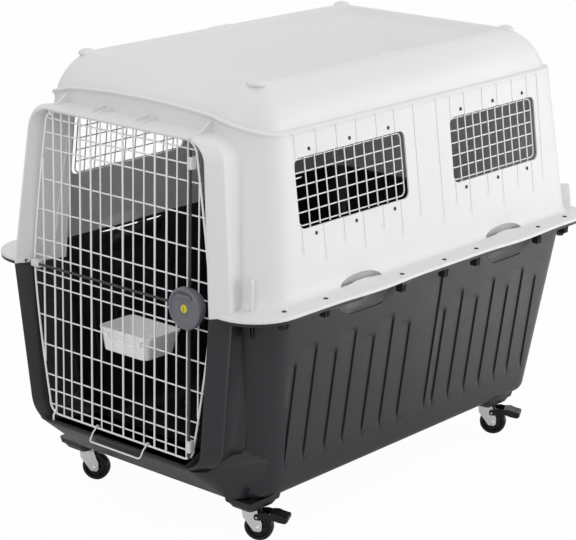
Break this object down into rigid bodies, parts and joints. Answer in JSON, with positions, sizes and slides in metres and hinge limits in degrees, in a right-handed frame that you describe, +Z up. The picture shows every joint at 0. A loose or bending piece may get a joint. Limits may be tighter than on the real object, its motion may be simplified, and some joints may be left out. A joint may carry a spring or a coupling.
{
  "type": "dog travel crate",
  "caption": "Two-shell plastic travel crate for a large dog, with a wire front door, wire side windows, a hook-on bowl and swivel casters",
  "frame": {"origin": "on the floor under the wheels, at the centre of the bounding box", "axes": "+Z up, +Y towards the rear wall, the door faces -Y, +X to the right of someone who faces the door"},
  "size_m": [0.798, 1.141, 0.9475],
  "materials": {
    "roof_plastic": "satin moulded plastic, off-white",
    "base_plastic": "satin moulded plastic, charcoal",
    "coated_wire": "white coated steel wire",
    "lock_plastic": "fine grained grey plastic",
    "key_plastic": "yellow plastic",
    "rod_finish": "black coated steel",
    "clip_plastic": "white plastic",
    "bowl_plastic": "translucent plastic",
    "bolt_plastic": "black plastic",
    "zinc": "bright zinc plate",
    "wheel_plastic": "hard black plastic"
  },
  "bodies": {
    "crate": {"base_shell": "base_plastic", "roof_shell": "roof_plastic", "window_grille_right_front": "coated_wire", "window_grille_right_rear": "coated_wire", "window_grille_left_front": "coated_wire", "window_grille_left_rear": "coated_wire", "flange_bolt_01": "bolt_plastic", "flange_bolt_02": "bolt_plastic", "flange_bolt_03": "bolt_plastic", "flange_bolt_04": "bolt_plastic", "flange_bolt_05": "bolt_plastic", "flange_bolt_06": "bolt_plastic", "flange_bolt_07": "bolt_plastic", "flange_bolt_08": "bolt_plastic", "flange_bolt_09": "bolt_plastic", "flange_bolt_10": "bolt_plastic", "flange_bolt_11": "bolt_plastic", "flange_bolt_12": "bolt_plastic", "flange_bolt_13": "bolt_plastic", "flange_bolt_14": "bolt_plastic", "flange_bolt_15": "bolt_plastic", "flange_bolt_16": "bolt_plastic", "caster_block_right_front": "base_plastic", "caster_block_right_rear": "base_plastic", "caster_block_left_front": "base_plastic", "caster_block_left_rear": "base_plastic", "caster_plate_right_front": "zinc", "caster_plate_right_rear": "zinc", "caster_plate_left_front": "zinc", "caster_plate_left_rear": "zinc"},
    "door": {"door_grid": "coated_wire", "lock_housing": "lock_plastic", "lock_back_plate": "lock_plastic", "rod_guide_top": "clip_plastic", "rod_guide_bottom": "clip_plastic", "rod_guide_left": "clip_plastic"},
    "knob": {"lock_knob": "lock_plastic", "key_insert": "key_plastic", "lock_cam": "rod_finish"},
    "rod_up": {"lock_rod_up": "rod_finish"},
    "rod_down": {"lock_rod_down": "rod_finish"},
    "rod_left": {"lock_rod_left": "rod_finish"},
    "bail": {"door_bail": "coated_wire"},
    "bowl": {"water_bowl": "bowl_plastic"},
    "fork_right_front": {"caster_fork_right_front": "zinc", "caster_axle_right_front": "zinc"},
    "wheel_right_front": {"caster_wheel_right_front": "wheel_plastic"},
    "fork_right_rear": {"caster_fork_right_rear": "zinc", "caster_axle_right_rear": "zinc"},
    "wheel_right_rear": {"caster_wheel_right_rear": "wheel_plastic"},
    "fork_left_front": {"caster_fork_left_front": "zinc", "caster_axle_left_front": "zinc"},
    "wheel_left_front": {"caster_wheel_left_front": "wheel_plastic"},
    "fork_left_rear": {"caster_fork_left_rear": "zinc", "caster_axle_left_rear": "zinc"},
    "wheel_left_rear": {"caster_wheel_left_rear": "wheel_plastic"},
    "pedal_right_front": {"brake_pedal_right_front": "wheel_plastic"},
    "pedal_right_rear": {"brake_pedal_right_rear": "wheel_plastic"}
  },
  "joints": [
    {"name": "door_hinge", "type": "hinge", "parent": "crate", "child": "door", "pos_m": [-0.1884, -0.5475, 0.524], "axis": [0, 0.022, 0.9998], "range_deg": [-120, 0]},
    {"name": "knob_turn", "type": "hinge", "parent": "door", "child": "knob", "pos_m": [0.2035, -0.56, 0.524], "axis": [0, 1, 0], "range_deg": [0, 90]},
    {"name": "rod_up_slide", "type": "slide", "parent": "door", "child": "rod_up", "axis": [0, 0.022, 0.9998], "range_m": [0, 0.022]},
    {"name": "rod_down_slide", "type": "slide", "parent": "door", "child": "rod_down", "axis": [0, -0.022, -0.9998], "range_m": [0, 0.022]},
    {"name": "rod_left_slide", "type": "slide", "parent": "door", "child": "rod_left", "axis": [-1, 0, 0], "range_m": [0, 0.022]},
    {"name": "bail_swing", "type": "hinge", "parent": "door", "child": "bail", "pos_m": [0, -0.54599, 0.2065], "axis": [-1, 0, 0], "range_deg": [0, 70]},
    {"name": "bowl_lift", "type": "slide", "parent": "door", "child": "bowl", "axis": [0, 0, 1], "range_m": [0, 0.012]},
    {"name": "swivel_right_front", "type": "hinge", "parent": "crate", "child": "fork_right_front", "pos_m": [0.2235, -0.3985, 0.0688], "axis": [0, 0, 1], "continuous": true},
    {"name": "spin_right_front", "type": "hinge", "parent": "fork_right_front", "child": "wheel_right_front", "pos_m": [0.23851, -0.39052, 0.03], "axis": [-0.4695, 0.8829, 0], "continuous": true},
    {"name": "brake_right_front", "type": "hinge", "parent": "fork_right_front", "child": "pedal_right_front", "pos_m": [0.23674, -0.39146, 0.053], "axis": [-0.4695, 0.8829, 0], "range_deg": [0, 12]},
    {"name": "swivel_right_rear", "type": "hinge", "parent": "crate", "child": "fork_right_rear", "pos_m": [0.2235, 0.402, 0.0688], "axis": [0, 0, 1], "continuous": true},
    {"name": "spin_right_rear", "type": "hinge", "parent": "fork_right_rear", "child": "wheel_right_rear", "pos_m": [0.23851, 0.40998, 0.03], "axis": [-0.4695, 0.8829, 0], "continuous": true},
    {"name": "brake_right_rear", "type": "hinge", "parent": "fork_right_rear", "child": "pedal_right_rear", "pos_m": [0.23674, 0.40904, 0.053], "axis": [-0.4695, 0.8829, 0], "range_deg": [0, 12]},
    {"name": "swivel_left_front", "type": "hinge", "parent": "crate", "child": "fork_left_front", "pos_m": [-0.2535, -0.3985, 0.0688], "axis": [0, 0, 1], "continuous": true},
    {"name": "spin_left_front", "type": "hinge", "parent": "fork_left_front", "child": "wheel_left_front", "pos_m": [-0.23849, -0.39052, 0.03], "axis": [-0.4695, 0.8829, 0], "continuous": true},
    {"name": "swivel_left_rear", "type": "hinge", "parent": "crate", "child": "fork_left_rear", "pos_m": [-0.2535, 0.402, 0.0688], "axis": [0, 0, 1], "continuous": true},
    {"name": "spin_left_rear", "type": "hinge", "parent": "fork_left_rear", "child": "wheel_left_rear", "pos_m": [-0.23849, 0.40998, 0.03], "axis": [-0.4695, 0.8829, 0], "continuous": true}
  ],
  "couplings": [
    {"joint": "rod_up_slide", "follows": "knob_turn", "m_per_rad": 0.014005},
    {"joint": "rod_down_slide", "follows": "knob_turn", "m_per_rad": 0.014005},
    {"joint": "rod_left_slide", "follows": "knob_turn", "m_per_rad": 0.014005}
  ]
}
